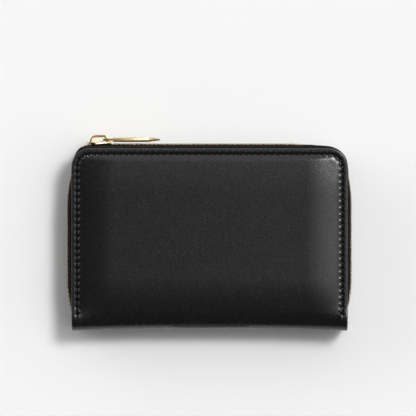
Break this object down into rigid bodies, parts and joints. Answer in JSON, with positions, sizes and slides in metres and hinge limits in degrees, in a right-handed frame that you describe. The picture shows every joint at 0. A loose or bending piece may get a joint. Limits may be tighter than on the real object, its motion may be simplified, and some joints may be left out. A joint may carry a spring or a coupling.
{
  "type": "zip around wallet",
  "caption": "Black leather zip-around wallet with padded covers, folded spine, card slots, a zipped coin pocket and a metal zip with a bar pull.",
  "frame": {"origin": "on the resting face of the back cover, under the middle of the leather shell", "axes": "+X along the spine with the zip slider at its low end, +Y from the spine to the long zip run, +Z through the closed thickness from the back cover to the front cover"},
  "size_m": [0.1498, 0.1031, 0.026],
  "materials": {
    "outer_leather": "fine pebbled grain, semi-gloss",
    "inner_leather": "smooth, satin",
    "lining": "fine twill",
    "board": "pressed board",
    "thread": "waxed thread",
    "zip_tape": "woven tape",
    "zip_metal": "polished light gold",
    "hardware_gold": "polished light gold"
  },
  "bodies": {
    "back_half": {"back_card_slot_1": "inner_leather", "back_card_slot_2": "inner_leather", "back_card_slot_3": "inner_leather", "back_card_slot_4": "inner_leather", "back_cover": "outer_leather", "back_lining": "lining", "back_stiffener": "board", "back_stitching": "thread", "back_zip_stops": "zip_metal", "back_zip_tape": "zip_tape", "back_zip_teeth": "zip_metal"},
    "spine": {"coin_pocket_back_panel": "inner_leather", "coin_pocket_front_panel": "inner_leather", "coin_pocket_seam_frame": "inner_leather", "coin_pocket_top_band": "inner_leather", "coin_zip_lower_tape": "zip_tape", "coin_zip_lower_teeth": "zip_metal", "coin_zip_stop": "zip_metal", "coin_zip_upper_tape": "zip_tape", "coin_zip_upper_teeth": "zip_metal", "spine_cover": "outer_leather", "spine_lining": "lining"},
    "front_half": {"front_card_slot_1": "inner_leather", "front_card_slot_2": "inner_leather", "front_card_slot_3": "inner_leather", "front_card_slot_4": "inner_leather", "front_cover": "outer_leather", "front_lining": "lining", "front_stiffener": "board", "front_stitching": "thread", "front_zip_stops": "zip_metal", "front_zip_tape": "zip_tape", "front_zip_teeth": "zip_metal"},
    "zip_slider": {"slider_body": "hardware_gold", "slider_bridge": "hardware_gold"},
    "zip_pull": {"pull_tab": "hardware_gold"},
    "coin_slider": {"coin_pull_tab": "hardware_gold", "coin_slider_body": "hardware_gold", "coin_slider_bridge": "hardware_gold"}
  },
  "joints": [
    {"name": "spine_fold", "type": "hinge", "parent": "back_half", "child": "spine", "pos_m": [0, -0.04537, 0.00248], "axis": [1, 0, 0], "range_deg": [0, 90]},
    {"name": "cover_fold", "type": "hinge", "parent": "spine", "child": "front_half", "pos_m": [0, -0.04537, 0.02352], "axis": [1, 0, 0], "range_deg": [0, 90]},
    {"name": "slider_run", "type": "slide", "parent": "back_half", "child": "zip_slider", "axis": [1, 0, 0], "range_m": [0, 0.096], "deforming": ["back_zip_teeth", "front_zip_teeth"]},
    {"name": "pull_swing", "type": "hinge", "parent": "zip_slider", "child": "zip_pull", "pos_m": [-0.0555, 0.0526, 0.013], "axis": [0, 0, 1], "range_deg": [0, 125]},
    {"name": "coin_slider_run", "type": "slide", "parent": "spine", "child": "coin_slider", "axis": [1, 0, 0], "range_m": [0, 0.088], "deforming": ["coin_zip_upper_teeth", "coin_zip_lower_teeth"]}
  ],
  "couplings": [
    {"joint": "spine_fold", "follows": "cover_fold", "ratio": 1}
  ]
}
